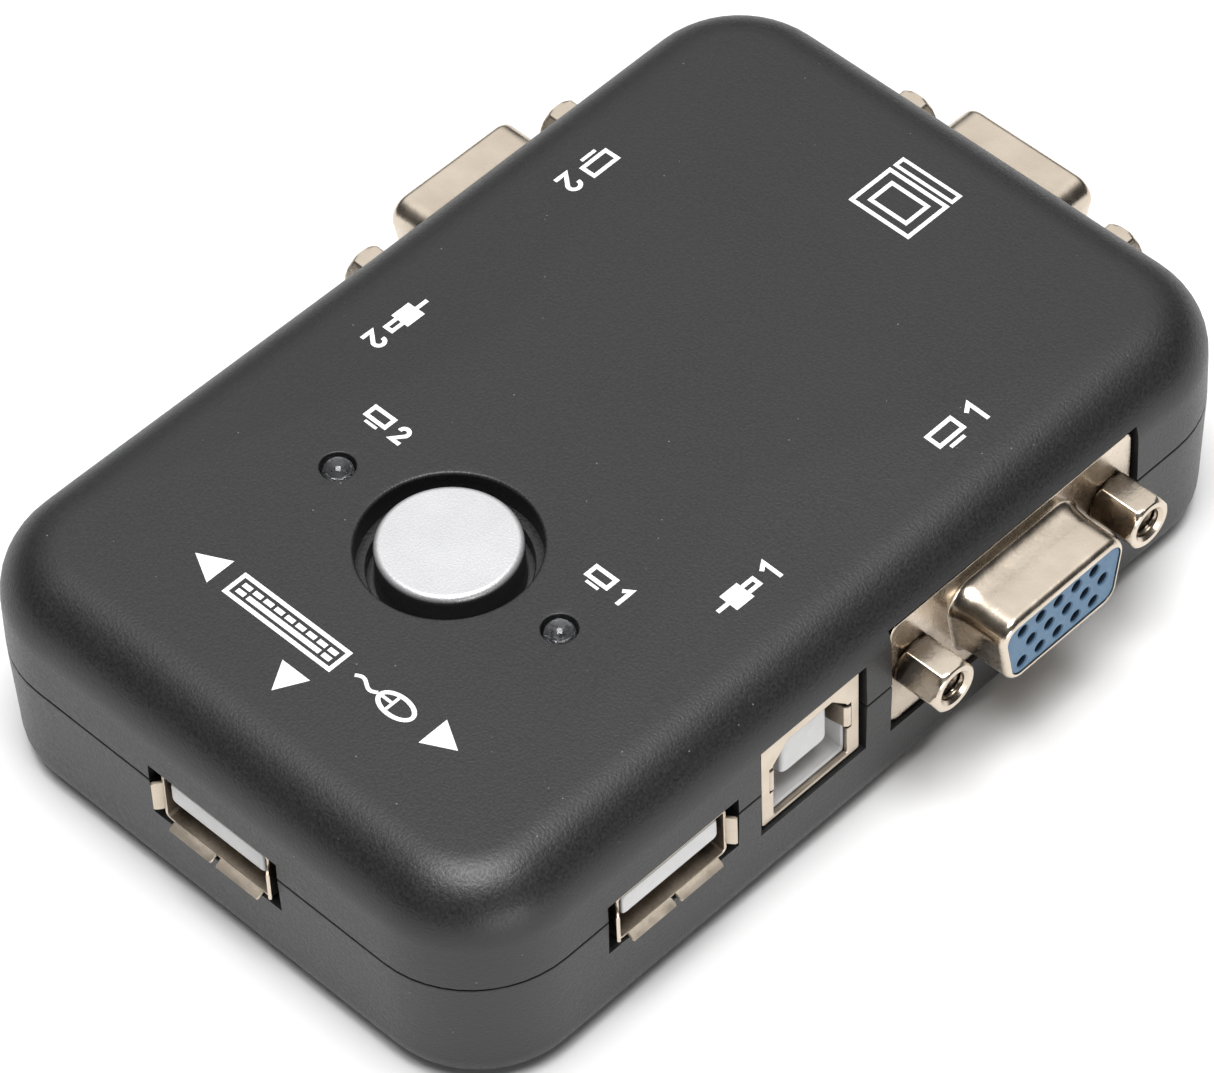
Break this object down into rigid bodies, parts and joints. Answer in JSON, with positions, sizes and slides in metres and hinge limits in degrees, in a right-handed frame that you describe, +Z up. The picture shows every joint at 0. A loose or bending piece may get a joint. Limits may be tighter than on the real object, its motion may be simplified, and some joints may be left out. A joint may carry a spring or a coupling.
{
  "type": "kvm switch",
  "caption": "Pocket-size black desktop box that shares a monitor, keyboard and mouse between computers: round push button on top, D-sub video sockets and USB sockets round its sides.",
  "frame": {"origin": "centre of the case's flat underside, not counting the sockets that stand out of its sides", "axes": "+X towards the source 1 side, +Y towards the monitor socket's end, +Z up out of the lid"},
  "size_m": [0.0744, 0.1035, 0.025],
  "materials": {
    "case_plastic": "black ABS, fine spark-eroded texture",
    "button_silver": "silver-white satin",
    "nickel": "bright nickel plate, warm, slight orange peel",
    "vga_blue": "moulded mid blue",
    "connector_white": "off-white moulding",
    "led_clear": "clear epoxy lens",
    "board_green": "green solder mask",
    "chip_black": "moulded epoxy package",
    "steel": "zinc-plated or tinned",
    "stem_white": "natural moulding"
  },
  "bodies": {
    "case": {"top_shell": "case_plastic", "bottom_shell": "case_plastic", "switch_body": "chip_black", "switch_spring": "steel", "circuit_board": "board_green", "video_chip_1": "chip_black", "video_chip_2": "chip_black", "usb_chip": "chip_black", "crystal": "steel", "capacitor_1": "chip_black", "capacitor_2": "chip_black", "case_screw_1": "steel", "case_screw_2": "steel", "case_screw_3": "steel", "case_screw_4": "steel", "led_source1": "led_clear", "led_source1_lead_1": "steel", "led_source1_lead_2": "steel", "usb_b_source1_shell": "nickel", "usb_b_source1_insert": "connector_white", "led_source2": "led_clear", "led_source2_lead_1": "steel", "led_source2_lead_2": "steel", "usb_b_source2_shell": "nickel", "usb_b_source2_insert": "connector_white", "vga_source1_shell": "nickel", "vga_source1_insert": "vga_blue", "vga_source1_jackscrew_1": "nickel", "vga_source1_jackscrew_2": "nickel", "vga_source2_shell": "nickel", "vga_source2_insert": "vga_blue", "vga_source2_jackscrew_1": "nickel", "vga_source2_jackscrew_2": "nickel", "vga_monitor_shell": "nickel", "vga_monitor_insert": "vga_blue", "vga_monitor_jackscrew_1": "nickel", "vga_monitor_jackscrew_2": "nickel", "usb_a_right_shell": "nickel", "usb_a_right_insert": "connector_white", "usb_a_left_shell": "nickel", "usb_a_left_insert": "connector_white", "usb_a_front_shell": "nickel", "usb_a_front_insert": "connector_white"},
    "button": {"button_cap": "button_silver", "switch_stem": "stem_white"}
  },
  "joints": [
    {"name": "button_press", "type": "slide", "parent": "case", "child": "button", "axis": [0, 0, -1], "range_m": [0, 0.0015], "stiffness_N_per_m": 800, "springref_m": -0.00125, "deforming": ["switch_spring"]}
  ]
}
